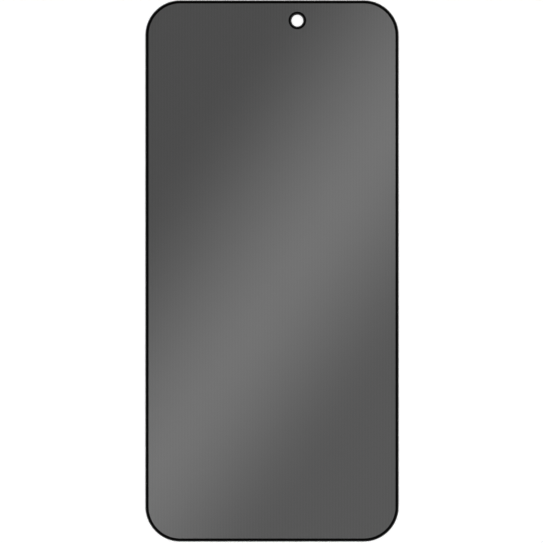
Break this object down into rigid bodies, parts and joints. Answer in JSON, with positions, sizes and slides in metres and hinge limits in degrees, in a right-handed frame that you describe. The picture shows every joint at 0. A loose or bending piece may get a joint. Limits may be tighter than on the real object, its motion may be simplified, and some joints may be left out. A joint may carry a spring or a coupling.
{
  "type": "phone screen protector",
  "caption": "Flat dark-tinted privacy screen protector for a phone: thin glass sheet with rounded corners, a black ground edge and a round front-camera hole.",
  "frame": {"origin": "middle of the adhesive face, on the surface that the sheet lies on", "axes": "+X to the user's right, +Y towards the earpiece end, +Z out of the outer glass face"},
  "size_m": [0.0686, 0.1466, 0.0004],
  "materials": {
    "tinted_glass": "glossy glass over dark privacy film, black ground edge"
  },
  "bodies": {
    "root": {"screen_protector": "tinted_glass"}
  },
  "joints": []
}
